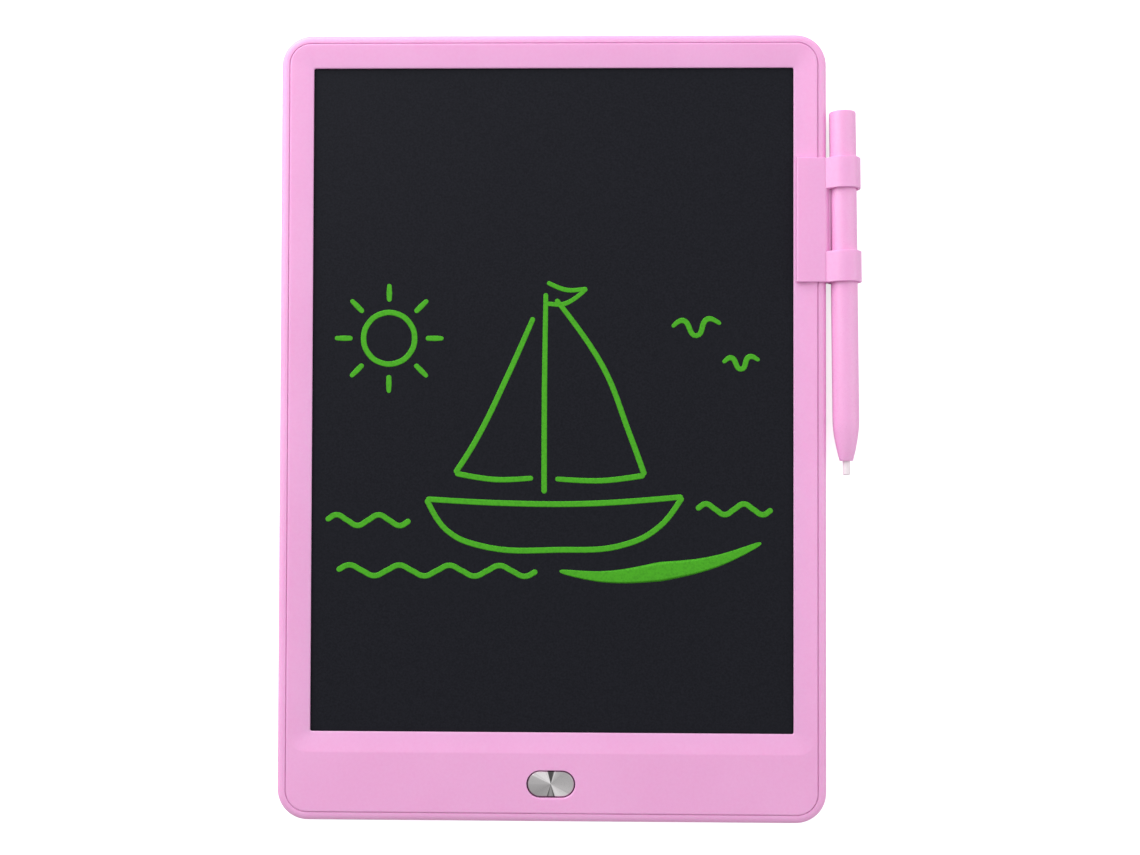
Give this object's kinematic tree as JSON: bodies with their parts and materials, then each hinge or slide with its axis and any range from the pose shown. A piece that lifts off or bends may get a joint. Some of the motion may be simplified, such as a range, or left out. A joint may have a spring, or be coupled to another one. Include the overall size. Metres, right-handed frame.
{
  "type": "lcd writing tablet",
  "caption": "Pink handheld LCD writing tablet with a dark screen, a steel erase button and a stylus clipped to its right edge.",
  "frame": {"origin": "middle of the rear shell's flat back face", "axes": "+Z out of the screen, +Y towards the top edge, +X towards the stylus; the tablet lies on its back"},
  "size_m": [0.1798, 0.243, 0.0107],
  "materials": {
    "pink_plastic": "satin, moulded",
    "white_plastic": "satin",
    "black_plastic": "matte",
    "clear_film": "matte writing film over the dark screen",
    "liquid_crystal": "dark",
    "black_tape": "matte",
    "grey_board": "matte",
    "board_green": "solder mask",
    "nickel": "nickel plated",
    "brushed_steel": "spun, brushed round its middle",
    "ferrite": "matte",
    "ceramic": "matte",
    "amber_film": "polyimide"
  },
  "bodies": {
    "tablet": {"rear_shell": "pink_plastic", "front_bezel": "pink_plastic", "bezel_tape": "black_tape", "writing_film": "clear_film", "liquid_crystal_sheet": "liquid_crystal", "backing_board": "grey_board", "circuit_board": "board_green", "board_screw_1": "nickel", "board_screw_2": "nickel", "board_screw_3": "nickel", "tact_switch_housing": "black_plastic", "slide_switch_body": "nickel", "driver_chip": "black_plastic", "boost_inductor": "ferrite", "ceramic_capacitor_1": "ceramic", "ceramic_capacitor_2": "ceramic", "ceramic_capacitor_3": "ceramic", "ceramic_capacitor_4": "ceramic", "ribbon_cable": "amber_film", "coin_cell": "nickel", "battery_contact_negative": "nickel", "battery_contact_positive": "nickel", "stylus_holder": "pink_plastic"},
    "erase_button": {"button_face": "brushed_steel", "button_carrier": "black_plastic", "tact_plunger": "white_plastic"},
    "lock_slider": {"lock_knob": "black_plastic", "slide_switch_lever": "black_plastic"},
    "battery_cover": {"battery_door": "pink_plastic", "battery_door_screw": "nickel"},
    "stylus": {"stylus_barrel": "pink_plastic", "stylus_nib": "white_plastic"}
  },
  "joints": [
    {"name": "stylus_pull", "type": "slide", "parent": "tablet", "child": "stylus", "axis": [-0.0105, 0.9999, 0], "range_m": [0, 0.105]},
    {"name": "erase_button_press", "type": "slide", "parent": "tablet", "child": "erase_button", "axis": [0, 0, -1], "range_m": [0, 0.0004], "stiffness_N_per_m": 1500, "springref_m": -0.0001},
    {"name": "lock_slide", "type": "slide", "parent": "tablet", "child": "lock_slider", "axis": [1, 0, 0], "range_m": [0, 0.0024]},
    {"name": "battery_door_swing", "type": "hinge", "parent": "tablet", "child": "battery_cover", "pos_m": [-0.0745, -0.1071, 0], "axis": [0, 1, 0], "range_deg": [0, 65]}
  ]
}
